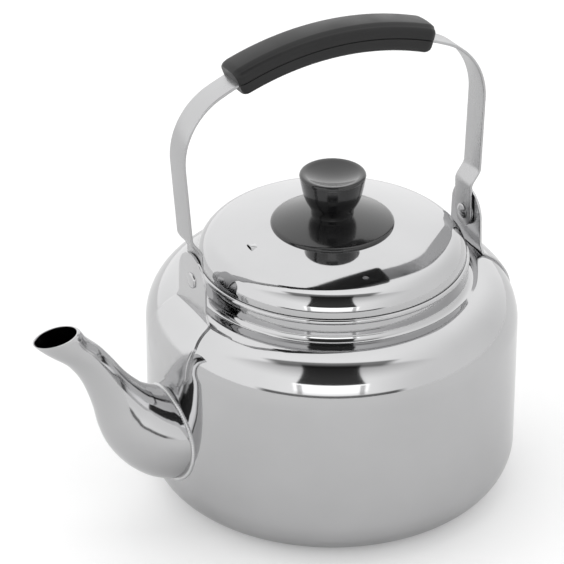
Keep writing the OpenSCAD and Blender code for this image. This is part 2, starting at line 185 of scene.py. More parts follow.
def arc(cx, cz, r, a0, a1, n):
    """Points on a circle from angle a0 to a1, in degrees."""
    angles = np.radians(np.linspace(a0, a1, n + 1))
    return [(cx + r * math.cos(a), cz + r * math.sin(a)) for a in angles]


def catmull(rows, u):
    """Smooth curve through rows; u counts rows."""
    n = len(rows) - 1
    i = min(int(u), n - 1)
    f = u - i
    p0, p1 = np.array(rows[max(i - 1, 0)]), np.array(rows[i])
    p2, p3 = np.array(rows[i + 1]), np.array(rows[min(i + 2, n)])
    return 0.5 * (
        2 * p1
        + (p2 - p0) * f
        + (2 * p0 - 5 * p1 + 4 * p2 - p3) * f * f
        + (3 * p1 - p0 - 3 * p2 + p3) * f**3
    )


def smooth_max(a, b, k):
    """The larger of a and b, blended where they are within k of each other."""
    h = max(k - abs(a - b), 0) / k
    return max(a, b) + h * h * k / 4


def baked(obj, name):
    """The evaluated mesh of obj as a new plain object in its place."""
    graph = bpy.context.evaluated_depsgraph_get()
    mesh = bpy.data.meshes.new_from_object(obj.evaluated_get(graph))
    mesh.name = name
    made = linked(name, mesh)
    bpy.data.objects.remove(obj)
    made.name = name
    return made


def cut(obj, cutter):
    """Takes a cutter's shape out of obj, and removes the cutter."""
    name = obj.name
    bpy.context.view_layer.update()
    tool = obj.modifiers.new("cut", "BOOLEAN")
    tool.object = cutter
    tool.solver = "EXACT"
    made = baked(obj, name)
    bpy.data.objects.remove(cutter)
    return made


# ---------- node helpers ----------
class Nodes:
    """Adds nodes to a node tree."""

    def __init__(self, tree):
        self.tree, self.links = tree, tree.links

    def node(self, kind, links=None, **settings):
        """A node with its settings; links maps an input to an output socket or a value."""
        made = self.tree.nodes.new(kind)
        for key, value in settings.items():
            setattr(made, key, value)
        for key, value in (links or {}).items():
            if isinstance(value, bpy.types.NodeSocket):
                self.links.new(value, made.inputs[key])
            else:
                made.inputs[key].default_value = value
        return made

    def math(self, operation, a, b=0.0, c=0.0):
        """Output of a Math node."""
        return self.node("ShaderNodeMath", {0: a, 1: b, 2: c}, operation=operation).outputs[0]


class Tree(Nodes):
    """A geometry node tree with named inputs."""

    def __init__(self, name, inputs=()):
        super().__init__(bpy.data.node_groups.new(name, "GeometryNodeTree"))
        face = self.tree.interface
        face.new_socket("Geometry", in_out="OUTPUT", socket_type="NodeSocketGeometry")
        face.new_socket("Geometry", in_out="INPUT", socket_type="NodeSocketGeometry")
        for label, kind, default in inputs:
            item = face.new_socket(label, in_out="INPUT", socket_type="NodeSocket" + kind)
            if default is not None:
                item.default_value = default
        self.inp = self.tree.nodes.new("NodeGroupInput")
        self.out = self.tree.nodes.new("NodeGroupOutput")

    def finish(self, geometry):
        """Ends the tree in Realize Instances and Set Material."""
        real = self.node("GeometryNodeRealizeInstances", {0: geometry})
        painted = self.node(
            "GeometryNodeSetMaterial",
            {"Geometry": real.outputs[0], "Material": self.inp.outputs["Material"]},
        )
        self.links.new(painted.outputs[0], self.out.inputs[0])
        return self.tree


def grown(source, group, values, name):
    """Runs a tree on source with its named inputs, and returns the plain mesh."""
    mod = source.modifiers.new("grow", "NODES")
    mod.node_group = group
    for item in group.interface.items_tree:
        if item.in_out == "INPUT" and item.name in values:
            mod[item.identifier] = values[item.name]
    source.update_tag()
    return baked(source, name)


def path_object(name, points, loop=False):
    """A bare line of points that a tree reads as its path."""
    mesh = bpy.data.meshes.new(name)
    n = len(points)
    edges = [(i, i + 1) for i in range(n - 1)] + ([(n - 1, 0)] if loop else [])
    mesh.from_pydata([tuple(c * MM for c in p) for p in points], edges, [])
    return linked(name, mesh)


# ---------- materials ----------
class Shader(Nodes):
    """A Principled material on Object coordinates."""

    def __init__(self, name, base, metallic=0.0, roughness=0.4, **sockets):
        self.mat = bpy.data.materials.new(name)
        self.mat.use_nodes = True
        super().__init__(self.mat.node_tree)
        self.bsdf = self.tree.nodes["Principled BSDF"]
        self.bsdf.inputs["Base Color"].default_value = (*base, 1)
        self.bsdf.inputs["Metallic"].default_value = metallic
        self.bsdf.inputs["Roughness"].default_value = roughness
        for key, value in sockets.items():
            self.bsdf.inputs[key.replace("_", " ")].default_value = value
        self.coord = self.node("ShaderNodeTexCoord").outputs["Object"]
        self.height = None

    def noise(self, scale, detail=3.0, vector=None, rough=0.5):
        """Noise of scale patterns per metre."""
        return self.node(
            "ShaderNodeTexNoise",
            {"Vector": vector or self.coord, "Scale": scale, "Detail": detail, "Roughness": rough},
        ).outputs[0]

    def ranged(self, value, low, high, from_low=0.3, from_high=0.7):
        """Output from low to high as value goes from from_low to from_high."""
        return self.node(
            "ShaderNodeMapRange", {0: value, 1: from_low, 2: from_high, 3: low, 4: high}
        ).outputs[0]

    def stretched(self, scale):
        """Object coordinates with each axis scaled, for drawn and brushed grain."""
        return self.node("ShaderNodeMapping", {"Vector": self.coord, "Scale": scale}).outputs[0]

    def turned(self):
        """(radius, height, a little of the turn) about Z: grain that runs round a spun piece."""
        x, y, z = self.node("ShaderNodeSeparateXYZ", {0: self.coord}).outputs
        radius = self.math("SQRT", self.math("ADD", self.math("MULTIPLY", x, x),
                                             self.math("MULTIPLY", y, y)))
        swing = self.math("MULTIPLY", self.math("ARCTAN2", y, x), 0.0004)
        return self.node("ShaderNodeCombineXYZ", {0: radius, 1: z, 2: swing}).outputs[0]

    def tint(self, value, low, high):
        """Base colour between two colours by a 0 to 1 value."""
        mix = self.node("ShaderNodeMix", {0: value, 6: (*low, 1), 7: (*high, 1)}, data_type="RGBA")
        self.links.new(mix.outputs[2], self.bsdf.inputs["Base Color"])

    def rough(self, value):
        """Roughness from an output."""
        self.links.new(value, self.bsdf.inputs["Roughness"])

    def bump(self, value, distance, strength=1.0):
        """Adds one layer of bump; layers stack on each other."""
        links = {"Height": value, "Distance": distance, "Strength": strength}
        if self.height:
            links["Normal"] = self.height
        self.height = self.node("ShaderNodeBump", links).outputs[0]
        self.links.new(self.height, self.bsdf.inputs["Normal"])


def steel(name, colour, roughness, waves=0.0, grain="turned", grain_depth=4e-7, axis=(1, 1, 1)):
    """Stainless steel: hairlines, faint waves of the pressed sheet and soft smudges."""
    s = Shader(name, colour, metallic=1.0, roughness=roughness)
    lines = s.turned() if grain == "turned" else s.stretched(axis)
    hair = s.noise(2600 if grain == "turned" else 900, 4, lines, 0.7)
    smudge = s.noise(26, 4)
    patches = s.math("MULTIPLY", s.noise(7, 2), smudge)
    s.tint(s.ranged(smudge, 0, 1, 0.25, 0.75), [c * 0.965 for c in colour],
           [min(c * 1.02, 1) for c in colour])
    s.rough(s.math("ADD", s.ranged(patches, roughness * 0.75, roughness * 1.5, 0.12, 0.4),
                   s.ranged(hair, 0, roughness * 0.35)))
    if waves:
        s.bump(s.noise(11, 1), waves, 1.0)
    s.bump(hair, grain_depth, 1.0)
    return s.mat


def black_plastic(name, colour, roughness, grain, depth, coat=0.0):
    """Moulded black plastic: fine tool grain, handling polish and a trace of dust."""
    s = Shader(name, colour, roughness=roughness, IOR=1.42, Coat_Weight=coat, Coat_Roughness=0.06)
    fine = s.noise(grain, 3, None, 0.6)
    rub = s.noise(48, 3)
    s.tint(s.ranged(rub, 0, 1, 0.3, 0.75), colour, [c * 1.5 + 0.002 for c in colour])
    s.rough(s.math("ADD", s.ranged(rub, roughness * 0.8, roughness * 1.25),
                   s.ranged(fine, 0, roughness * 0.15)))
    s.bump(s.noise(60, 2), depth * 6, 0.6)
    s.bump(fine, depth, 1.0)
    return s.mat


MATERIALS = {}


def paint(obj, key):
    """Gives obj one material."""
    obj.data.materials.clear()
    obj.data.materials.append(MATERIALS[key])


class KettleFinish(bpy.types.PropertyGroup):
    """Colours and gloss of the finishes."""

    steel_colour: FloatVectorProperty(
        name="Steel", description="Colour of the polished steel", subtype="COLOR", size=3,
        default=(0.515, 0.515, 0.52), min=0, max=1)
    steel_roughness: FloatProperty(
        name="Steel roughness", description="Roughness of the polished shells", default=0.045,
        min=0.01, max=0.6, subtype="FACTOR")
    strap_roughness: FloatProperty(
        name="Strap roughness", description="Roughness of the satin strap", default=0.24,
        min=0.05, max=0.8, subtype="FACTOR")
    grip_colour: FloatVectorProperty(
        name="Grip", description="Colour of the grip's plastic", subtype="COLOR", size=3,
        default=(0.005, 0.005, 0.0052), min=0, max=1)
    knob_colour: FloatVectorProperty(
        name="Knob", description="Colour of the knob's plastic", subtype="COLOR", size=3,
        default=(0.006, 0.006, 0.0063), min=0, max=1)


class KETTLE_OT_finishes(bpy.types.Operator):
    """Make the steel, plastic and brass finishes"""

    bl_idname = "kettle.finishes"
    bl_label = "Finishes"

    def execute(self, context):
        p = context.scene.kettle_finish
        c, r = tuple(p.steel_colour), p.steel_roughness
        MATERIALS["body"] = steel("body_polish", c, r, waves=2.5e-5)
        MATERIALS["lid"] = steel("lid_polish", c, r * 0.9, waves=1.2e-5)
        MATERIALS["spout"] = steel("spout_polish", c, r * 1.6, waves=3e-5, grain="drawn",
                                   grain_depth=6e-7)
        MATERIALS["inside"] = steel("inner_satin", [x * 0.9 for x in c], 0.3)
        MATERIALS["ear"] = steel("ear_steel", [x * 1.05 for x in c], 0.13, waves=2e-5,
                                 grain="drawn", axis=(0.3, 0.3, 3))
        MATERIALS["fitting"] = steel("fitting_steel", [x * 1.05 for x in c], 0.16, grain="drawn")
        MATERIALS["strap"] = steel("strap_satin", [x * 0.92 for x in c], p.strap_roughness,
                                   grain="drawn", axis=(0.25, 4, 0.25), grain_depth=1.2e-6)
        MATERIALS["weld"] = steel("weld_steel", [x * 1.25 for x in c], 0.3, grain="drawn")
        MATERIALS["grip"] = black_plastic("grip_satin_black", tuple(p.grip_colour), 0.36,
                                          2600, 4e-6)
        MATERIALS["knob"] = black_plastic("knob_gloss_black", tuple(p.knob_colour), 0.16,
                                          1800, 1e-6, coat=0.6)
        MATERIALS["brass"] = steel("turned_brass", (0.72, 0.5, 0.22), 0.2)
        return {"FINISHED"}


# ---------- body ----------
class KettleBody(bpy.types.PropertyGroup):
    """Sizes of the pressed body."""

    wall_height: length("Wall height", "Height of the straight wall", 0.099)
    base_fillet: length("Base rounding", "Radius between base and wall", 0.0235)
    shoulder_height: length("Shoulder height", "Height of the rounded shoulder", 0.0265)
    neck_radius: length("Neck radius", "Outer radius of the neck", 0.0756)
    neck_fillet: length("Neck rounding", "Radius between shoulder and neck", 0.004)
    bead_radius: length("Bead radius", "Radius of the rolled bead", 0.0016)
    sheet: length("Sheet", "Thickness of the steel sheet", 0.0008)
    hole_radius: length("Strainer hole", "Radius of a strainer hole", 0.0025)
    hole_pitch: length("Strainer pitch", "Distance between the strainer's rings of holes", 0.0084)


# The flat ledge at the neck's foot, the room that the bead takes and its inset, in millimetres
LEDGE, BEAD_ROOM, BEAD_INSET = 1.4, 3.4, 0.3


class BodyShape:
    """The body's section in millimetres, shared by the shell and the ears."""

    def __init__(self, p):
        self.r = reach("body_shell", 1, 1)
        self.mouth = reach("body_shell", 1, 2)
        self.wall = p.wall_height / MM
        self.base = p.base_fillet / MM
        self.rise = p.shoulder_height / MM
        self.neck = p.neck_radius / MM
        self.fillet = p.neck_fillet / MM
        self.bead = p.bead_radius / MM
        self.sheet = p.sheet / MM
        self.end = self.neck + self.fillet + LEDGE
        self.run = self.r - self.end
        self.top = self.wall + self.rise

    def shoulder(self, t, off=0.0):
        """Point of the shoulder at parameter t (degrees), moved outwards by off."""
        c, s = math.cos(math.radians(t)), math.sin(math.radians(t))
        nx, nz = self.rise * c, self.run * s
        n = math.hypot(nx, nz)
        return self.end + self.run * c + off * nx / n, self.wall + self.rise * s + off * nz / n

    def radius_at(self, z):
        """Outer radius of the wall and shoulder at height z."""
        if z <= self.wall:
            return self.r
        s = min((z - self.wall) / self.rise, 1)
        return self.end + self.run * math.sqrt(1 - s * s)

    def path(self, off):
        """Section from the axis to the neck's top, moved outwards by off."""
        f = self.fillet
        return (
            [(r, -off) for r in np.linspace(0, self.r - self.base, 14)[:-1]]
            + arc(self.r - self.base, self.base, self.base + off, -90, 0, 22)
            + [(self.r + off, z) for z in np.linspace(self.base, self.wall, 24)[1:-1]]
            + [self.shoulder(t, off) for t in np.linspace(0, 90, 40)]
            + arc(self.neck + f, self.top + f, f - off, 270, 180, 12)
            + [(self.neck + off, z)
               for z in np.linspace(self.top + f, self.mouth - BEAD_ROOM, 6)[1:]]
        )

    def section(self):
        """The closed section: outer wall, rolled bead, inner wall."""
        bead_r, bead_z = self.neck - BEAD_INSET, self.mouth - self.bead
        bead = arc(bead_r, bead_z, self.bead, -62, 242, 26)
        return self.path(0) + bead + self.path(-self.sheet)[::-1]


HOLES_ABOVE_ROOT = 0.002  # the strainer's middle above the spout root's middle, in metres


def strainer_tree():
    """Rings of round holes cut through the wall behind the spout."""
    t = Tree("strainer", [
        ("Hole radius", "Float", 0.0025), ("Pitch", "Float", 0.0084),
        ("Centre", "Vector", (0.1, 0, 0.05)), ("Depth", "Float", 0.02),
        ("Material", "Material", None)])
    pitch = t.inp.outputs["Pitch"]
    double = t.math("MULTIPLY", pitch, 2.0)
    join = t.node("GeometryNodeJoinGeometry")
    for count, radius in ((3, 0.0), (6, pitch), (12, double)):
        ring = t.node("GeometryNodeMeshCircle", {"Vertices": count, "Radius": radius})
        t.links.new(ring.outputs[0], join.inputs[0])
    merged = t.node("GeometryNodeMergeByDistance", {0: join.outputs[0], "Distance": 0.0001})
    drill = t.node("GeometryNodeMeshCylinder", {
        "Vertices": 28, "Radius": t.inp.outputs["Hole radius"], "Depth": t.inp.outputs["Depth"]})
    drills = t.node("GeometryNodeInstanceOnPoints", {
        "Points": merged.outputs[0], "Instance": drill.outputs[0]})
    placed = t.node("GeometryNodeTransform", {
        "Geometry": drills.outputs[0], "Translation": t.inp.outputs["Centre"],
        "Rotation": (0, math.pi / 2, 0)})
    real = t.node("GeometryNodeRealizeInstances", {0: placed.outputs[0]})
    holes = t.node("GeometryNodeMeshBoolean", operation="DIFFERENCE", solver="EXACT")
    t.links.new(t.inp.outputs["Geometry"], holes.inputs["Mesh 1"])
    t.links.new(real.outputs[0], holes.inputs["Mesh 2"])
    return t.finish(holes.outputs[0])


class KETTLE_OT_body(bpy.types.Operator):
    """Build the pressed body with its rolled bead and strainer holes"""

    bl_idname = "kettle.body"
    bl_label = "Body"

    def execute(self, context):
        p = context.scene.kettle_body
        shape = BodyShape(p)
        holes_z = context.scene.kettle_spout.root_height + HOLES_ABOVE_ROOT
        raw = make_piece("body_raw", *revolved(shape.section(), 288))
        shell = grown(raw, strainer_tree(), {
            "Hole radius": p.hole_radius, "Pitch": p.hole_pitch,
            "Centre": (shape.r * MM, 0, holes_z), "Depth": 0.02,
            "Material": MATERIALS["body"]}, "body")
        shade(shell, 40)
        declare(shell, BODY, ["body_shell"])
        return {"FINISHED"}


# ---------- spout ----------
SPOUT_ROWS = [  # along, up, fatness, lean in degrees
    (0, 0, 1, 0), (0.065, 0.02, 0.98, 6), (0.15, 0.055, 0.92, 14), (0.25, 0.12, 0.8, 24),
    (0.34, 0.205, 0.64, 35.5), (0.405, 0.295, 0.47, 47), (0.47, 0.415, 0.275, 59),
    (0.545, 0.53, 0.145, 63), (0.625, 0.65, 0.07, 60), (0.72, 0.765, 0.03, 53),
    (0.845, 0.875, 0.01, 47)]


class KettleSpout(bpy.types.PropertyGroup):
    """Sizes of the spout."""

    reach: length("Reach", "How far the spout's middle line reaches out", 0.065)
    rise: length("Rise", "How far it climbs to the mouth", 0.0793)
    root_height: length("Root height", "Height of the root's middle", 0.051)
    root_radius: length("Root radius", "Radius at the wall", 0.027)
    tip_radius: length("Tip radius", "Radius at the mouth", 0.0094)
    mouth_tilt: angle("Mouth tilt", "Tilt of the mouth's cut", 9)
    weld_ripples: IntProperty(
        name="Weld ripples", description="Ripples round the welded seam", default=120, min=8)


MOUTH_CUT = 37  # angle in degrees between the spout's line and a level cut at its mouth


class SpoutShape:
    """Rings of the spout in millimetres."""

    def __init__(self, p, wall_r):
        self.wall_r = wall_r
        tip, root = p.tip_radius / MM, p.root_radius / MM
        out, up, z0 = p.reach / MM, p.rise / MM, p.root_height / MM
        self.rows = [
            (wall_r + out * q[0], z0 + up * q[1], tip + (root - tip) * q[2],
             tip + (root - tip) * q[2], q[3]) for q in SPOUT_ROWS]
        tilt = math.degrees(p.mouth_tilt)
        self.rows.append((wall_r + out, z0 + up,
                          tip / math.sin(math.radians(MOUTH_CUT + tilt)), tip,
                          90 - tilt))

    def ring(self, u, off=0.0, sides=96):
        """One ring at row u, moved outwards by off; near the root it follows the wall."""
        x, z, high, wide, lean = catmull(self.rows, u)
        lean = math.radians(lean)
        bend = max(0, 1 - u / 2.5)
        made = []
        for k in range(sides):
            a = 2 * math.pi * k / sides
            v, y = (high + off) * math.cos(a), (wide + off) * math.sin(a)
            wall = bend * (math.sqrt(self.wall_r**2 - y * y) - self.wall_r)
            made.append((x - v * math.sin(lean) + wall, y, z + v * math.cos(lean)))
        return made


def bead_tree():
    """A rippled bead that follows a closed path."""
    t = Tree("weld_bead", [
        ("Radius", "Float", 0.001), ("Ripples", "Int", 120), ("Ripple depth", "Float", 0.12),
        ("Material", "Material", None)])
    count = t.math("MULTIPLY", t.inp.outputs["Ripples"], 6.0)
    line = t.node("GeometryNodeMeshToCurve", {0: t.inp.outputs["Geometry"]})
    even = t.node("GeometryNodeResampleCurve", {"Curve": line.outputs[0], "Count": count})
    index = t.node("GeometryNodeInputIndex").outputs[0]
    wave = t.math("SINE", t.math("MULTIPLY", index, math.pi / 3))
    thick = t.math("MULTIPLY_ADD", wave, t.inp.outputs["Ripple depth"], 1.0)
    profile = t.node("GeometryNodeCurvePrimitiveCircle", {
        "Resolution": 10, "Radius": t.inp.outputs["Radius"]})
    tube = t.node("GeometryNodeCurveToMesh", {
        "Curve": even.outputs[0], "Profile Curve": profile.outputs[0], "Scale": thick})
    return t.finish(tube.outputs[0])


WELD_RADIUS, WELD_RIPPLE = 0.0011, 0.14  # the seam's radius in metres and its ripples' share of it


class KETTLE_OT_spout(bpy.types.Operator):
    """Build the spout and the welded seam round its root"""

    bl_idname = "kettle.spout"
    bl_label = "Spout"

    def execute(self, context):
        p = context.scene.kettle_spout
        shape = SpoutShape(p, reach("body_shell", 1, 1))
        sheet = context.scene.kettle_body.sheet / MM
        steps = np.linspace(0, len(shape.rows) - 1, 110)
        outer = [shape.ring(u) for u in steps]
        inner = [shape.ring(u, -sheet) for u in steps[::-1]]
        last = len(shape.rows) - 1
        lip = [shape.ring(last + 0.03 * math.sin(a), -sheet / 2 + sheet / 2 * math.cos(a))
               for a in np.linspace(0.3, math.pi - 0.3, 6)]
        spout = make_piece("spout_tube", *skinned(outer + lip + inner, loop=True), BODY,
                           "spout_steel", ["spout"], smooth_to=70)
        paint(spout, "spout")
        seat = shape.ring(0.02, 0.25, 160)
        bead = grown(path_object("seam_path", seat, loop=True), bead_tree(), {
            "Radius": WELD_RADIUS, "Ripples": p.weld_ripples, "Ripple depth": WELD_RIPPLE,
            "Material": MATERIALS["weld"]}, "spout_seam")
        shade(bead, 60)
        declare(bead, BODY, ["spout_weld"])
        return {"FINISHED"}


# ---------- ears and rivets ----------
class KettleEars(bpy.types.PropertyGroup):
    """Sizes of the two ears and their rivets."""

    plate: length("Plate", "Thickness of the ear plate", 0.0012)
    top_radius: length("Top radius", "Radius of the ear round the pivot", 0.0158)
    foot_width: length("Foot half width", "Half width of the welded foot", 0.0235)
    head_radius: length("Rivet head", "Radius of the rivet's head", 0.0046)


def ear_rows(shape, top_r, foot_w, pivot):
    """Rows of (height, half width) from the top of the tab down to the foot's end."""
    base = shape.wall + shape.rise * 0.974
    # The flare's height, the tab's widening, and how far short of the foot's width the flare ends
    neck, spread, inset = 6, 0.6, 4
    low, wide_z, corner = shape.wall - 11, shape.top - 11, 13
    rows = [(pivot + top_r * math.cos(a), max(top_r * math.sin(a), 0.02))
            for a in np.linspace(0, math.pi / 2, 16)]
    rows += [(z, top_r + spread * (pivot - z) / (pivot - base - neck))
             for z in np.linspace(pivot, base + neck, 9)[1:]]
    wider = foot_w - inset - top_r - spread
    rows += [(base + neck - neck * f, top_r + spread + wider * f * f * (3 - 2 * f))
             for f in np.linspace(0, 1, 14)[1:]]
    rows += [(base - 0.22 * i, foot_w - inset + 0.12 * i) for i in range(1, 9)]
    z0, w0 = rows[-1]
    rows += [(z0 + (wide_z - z0) * f, w0 + (foot_w - w0) * f) for f in np.linspace(0, 1, 14)[1:]]
    rows += [(z, foot_w) for z in np.linspace(wide_z, low + corner, 16)[1:]]
    rows += [(low + corner - corner * math.sin(a), foot_w - corner * (1 - math.cos(a)))
             for a in np.linspace(0, math.pi / 2, 12)[1:]]
    return rows


# Dents of the spot welds on each foot: their (y, z), depth and spread, in millimetres
WELD_SPOTS = [(-9, 104), (9, 104), (0, 96)]
SPOT_DEPTH, SPOT_SPREAD = 0.28, 3.2


class KETTLE_OT_ears(bpy.types.Operator):
    """Build the two ears with their bent, welded feet"""

    bl_idname = "kettle.ears"
    bl_label = "Ears"

    def execute(self, context):
        p = context.scene.kettle_ears
        shape = BodyShape(context.scene.kettle_body)
        inner = reach("front_washer", 1, 0)
        rows = ear_rows(shape, p.top_radius / MM, p.foot_width / MM, pivot_height())
        grid = np.zeros((len(rows), 33, 3))
        for row, (z, half) in zip(grid, rows):
            r = shape.radius_at(z)
            for point, y in zip(row, np.linspace(-1, 1, 33) * half):
                point[:] = smooth_max(inner, math.sqrt(max(r * r - y * y, 1)), 3.0), y, z
        normal = np.cross(np.gradient(grid, axis=1), np.gradient(grid, axis=0))
        normal /= np.maximum(np.linalg.norm(normal, axis=2, keepdims=True), 1e-9)
        normal[0, :] = normal[1, :]
        normal *= np.sign(normal[..., :1])
        over = grid + normal * (p.plate / MM)
        dent = sum(np.exp(-((grid[..., 1] - y) ** 2 + (grid[..., 2] - z) ** 2) / SPOT_SPREAD)
                   for y, z in WELD_SPOTS)
        over -= normal * SPOT_DEPTH * dent[..., None]
        for side, name, node in ((1, "ear_front", "front_ear"), (-1, "ear_rear", "rear_ear")):
            mirror = np.array([side, 1, 1])
            ear = make_piece(name, *walled(grid * mirror, over * mirror))
            bevel = ear.modifiers.new("soft_edge", "BEVEL")
            bevel.width, bevel.segments, bevel.limit_method = 0.22 * MM, 2, "ANGLE"
            bevel.angle_limit = math.radians(50)
            ear = baked(ear, name)
            shade(ear, 50)
            declare(ear, BODY, [node])
            paint(ear, "ear")
        return {"FINISHED"}


def scatter_tree():
    """Copies of one fastener on marked points, each turned as its point says."""
    t = Tree("fasteners", [("Fastener", "Object", None), ("Material", "Material", None)])
    info = t.node("GeometryNodeObjectInfo", {"Object": t.inp.outputs["Fastener"]})
    turn = t.node("GeometryNodeInputNamedAttribute", {"Name": "turn"}, data_type="FLOAT_VECTOR")
    made = t.node("GeometryNodeInstanceOnPoints", {
        "Points": t.inp.outputs["Geometry"], "Instance": info.outputs["Geometry"],
        "Rotation": turn.outputs["Attribute"]})
    return t.finish(made.outputs[0])


def scattered(name, places, section, key, turns=64, cross=0.0):
    """One fastener, turned from a section about its own Z, copied to each (place, turn).

    cross is the length of a cross slot in its top.
    """
    one = make_piece(name + "_one", *revolved(section, turns), smooth_to=35)
    if cross:
        for a in (0, math.pi / 2):
            block = solid("slot", bmesh.ops.create_cube, size=1)
            block.scale = (cross * MM, cross * 0.26 * MM, 1.6 * MM)
            block.rotation_euler = (0, 0, a)
            block.location = (0, 0, max(z for r, z in section) * MM)
            one = cut(one, block)
            shade(one, 35)
    marks = path_object(name + "_marks", [q[0] for q in places])
    turn = marks.data.attributes.new("turn", "FLOAT_VECTOR", "POINT")
    turn.data.foreach_set("vector", [c for q in places for c in q[1]])
    made = grown(marks, scatter_tree(), {"Fastener": one, "Material": MATERIALS[key]}, name)
    bpy.data.objects.remove(one)
    shade(made, 35)
    return made


def dome(r, h, n=10):
    """Section of a low dome of radius r and height h, from its foot to the axis."""
    rim, cap = 0.22 * h, 0.78 * h
    return [(r, 0)] + [(r * math.cos(a), rim + cap * math.sin(a))
                       for a in np.linspace(0, math.pi / 2, n)]


class KETTLE_OT_rivets(bpy.types.Operator):
    """Set the two pivot rivets through ears and strap"""

    bl_idname = "kettle.rivets"
    bl_label = "Pivot rivets"

    def execute(self, context):
        p = context.scene.kettle_ears
        outer = reach("front_washer", 1, 0) + p.plate / MM
        low, high = reach("front_rivet", 0, 0), reach("front_rivet", 1, 0)
        head, shank = p.head_radius / MM, 2.5
        tall = high - outer
        section = [(0, low), (head * 0.62, low + 0.25), (head, low + tall * 0.8),
                   (head, low + tall), (shank, low + tall), (shank, outer)]
        section += [(r, outer + z) for r, z in dome(head, tall)]
        places = [((0, 0, pivot_height()), (0, turn, 0)) for turn in (math.pi / 2, -math.pi / 2)]
        made = scattered("pivot_rivets", places, section, "fitting")
        declare(made, BODY, ["front_rivet", "rear_rivet"])
        return {"FINISHED"}


# ---------- bail ----------
class KettleBail(bpy.types.PropertyGroup):
    """Sizes of the strap and its grip."""

    strap_width: length("Strap width", "Width of the strap", 0.017)
    strap_thickness: length("Strap thickness", "Thickness of the strap", 0.0016)
    crown_radius: length("Crown radius", "Radius of the strap's crown", 0.17)
    corner_radius: length("Corner radius", "Radius of the strap's corners", 0.039)
    leg_lean: angle("Leg lean", "Angle by which each leg widens upwards", 3.5)
    lean: angle("Lean", "Angle by which the bail leans back from upright", 2.4)
    crown_rise: length("Crown rise", "Height of the crown above the pivots", 0.1242)
    grip_angle: angle("Grip half angle", "Half of the angle that the grip covers", 20.49)
    grip_width: length("Grip width", "Width of the grip", 0.023)
    grip_over: length("Grip over", "Height of the grip above the strap's middle", 0.0092)
    grip_under: length("Grip under", "Depth of the grip below the strap's middle", 0.007)


EAR_RADIUS, EAR_CLEAR = 15.8, 1.7  # the strap stays close in until it is clear of the ear's top
JOGGLE = 11  # height over which the strap then steps outwards
WASHER_GAP = 0.3  # between washer and strap


class BailShape:
    """The strap's middle line in millimetres."""

    def __init__(self, p):
        self.pivot = pivot_height()
        self.width = p.strap_width / MM
        self.thick = p.strap_thickness / MM
        self.eye = reach("front_washer", 0, 0) - WASHER_GAP - self.thick / 2
        self.leg = reach("bail_strap", 1, 0) - self.thick / 2
        self.crown_r = p.crown_radius / MM
        self.crown_c = self.pivot + p.crown_rise / MM - self.crown_r
        self.corner_r = p.corner_radius / MM
        self.widening = p.leg_lean

    def half(self):
        """From the lower end of the front eye to the top of the crown."""
        cx = self.leg - self.corner_r
        cz = self.crown_c + math.sqrt((self.crown_r - self.corner_r) ** 2 - cx * cx)
        z0 = self.pivot + EAR_RADIUS + EAR_CLEAR
        tilt = math.degrees(math.atan2(cz - self.crown_c, cx))
        eye = [(self.eye, z) for z in np.linspace(self.pivot - self.width / 2 + 0.02, z0, 26)]
        lean = self.widening
        low = (cx + self.corner_r * math.cos(lean)
               - (cz - self.corner_r * math.sin(lean) - z0 - JOGGLE) * math.tan(lean))
        bend = [(self.eye + (low - self.eye) * (3 * u * u - 2 * u**3), z0 + JOGGLE * u)
                for u in np.linspace(0, 1, 15)[1:]]
        corner = arc(cx, cz, self.corner_r, -math.degrees(lean), tilt, 26)
        crown = arc(0, self.crown_c, self.crown_r, tilt, 90, 30)[1:]
        return eye + bend + corner + crown


def leaned(obj, p):
    """Leans a piece of the bail back about its pivots."""
    pivot = Vector((0, 0, pivot_height() * MM))
    turn = Matrix.Rotation(p.lean, 4, "X")
    obj.data.transform(Matrix.Translation(pivot) @ turn @ Matrix.Translation(-pivot))
    return obj


def strap_tree():
    """A flat strap with eased edges that follows a path."""
    t = Tree("strap", [
        ("Width", "Float", 0.017), ("Thickness", "Float", 0.0016), ("Edge", "Float", 0.0005),
        ("Material", "Material", None)])
    line = t.node("GeometryNodeMeshToCurve", {0: t.inp.outputs["Geometry"]})
    aimed = t.node("GeometryNodeSetCurveNormal", {"Curve": line.outputs[0], "Normal": (0, 1, 0)},
                   mode="FREE")
    flat = t.node("GeometryNodeCurvePrimitiveQuadrilateral", {
        "Width": t.inp.outputs["Width"], "Height": t.inp.outputs["Thickness"]})
    eased = t.node("GeometryNodeFilletCurve", {
        "Curve": flat.outputs[0], "Count": 3, "Radius": t.inp.outputs["Edge"]}, mode="POLY")
    tube = t.node("GeometryNodeCurveToMesh", {
        "Curve": aimed.outputs[0], "Profile Curve": eased.outputs[0], "Fill Caps": True})
    return t.finish(tube.outputs[0])


class KETTLE_OT_strap(bpy.types.Operator):
    """Build the steel strap of the bail"""

    bl_idname = "kettle.strap"
    bl_label = "Bail strap"

    def execute(self, context):
        p = context.scene.kettle_bail
        shape = BailShape(p)
        half = shape.half()
        line = [(x, 0, z) for x, z in half] + [(-x, 0, z) for x, z in half[-2::-1]]
        made = grown(path_object("strap_path", line), strap_tree(), {
            "Width": p.strap_width, "Thickness": p.strap_thickness, "Edge": 0.0005,
            "Material": MATERIALS["strap"]}, "strap")
        # The strap's ends are rounded about the pivots
        mesh = made.data
        co = np.zeros(len(mesh.vertices) * 3)
        mesh.vertices.foreach_get("co", co)
        co = co.reshape(-1, 3)
        r = p.strap_width / 2
        drop = np.clip(shape.pivot * MM - co[:, 2], 0, r * 0.999)
        limit = np.sqrt(r * r - drop * drop)
        co[:, 1] *= limit / r
        mesh.vertices.foreach_set("co", co.ravel())
        shade(leaned(made, p), 40)
        declare(made, BAIL, ["bail_strap"])
        return {"FINISHED"}


